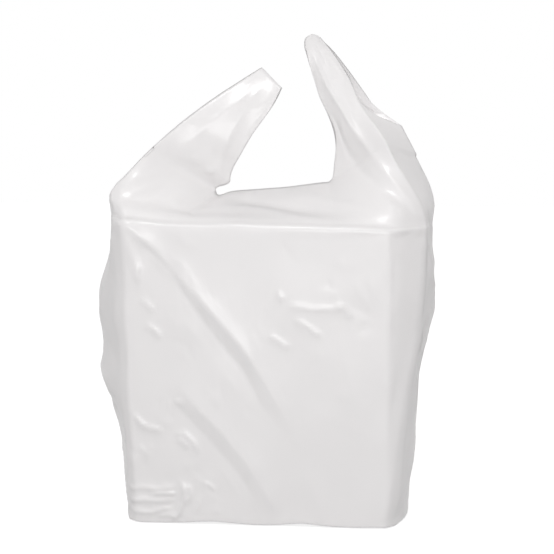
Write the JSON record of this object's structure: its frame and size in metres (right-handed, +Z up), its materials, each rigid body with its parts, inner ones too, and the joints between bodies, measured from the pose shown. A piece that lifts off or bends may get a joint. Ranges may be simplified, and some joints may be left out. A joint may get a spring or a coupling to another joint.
{
  "type": "plastic carrier bag",
  "caption": "Vest carrier bag of thin white film, open at the top between its handles, standing filled out on its flat base.",
  "frame": {"origin": "centre of the flat base, on the surface that the bag stands on", "axes": "+Z up through the mouth and handles, -Y out of the front panel, +X towards the handle that stands higher"},
  "size_m": [0.3516, 0.1526, 0.5002],
  "materials": {
    "film": "white film with a soft sheen, thin enough to let light through"
  },
  "bodies": {
    "root": {"carrier_bag": "film"}
  },
  "joints": []
}
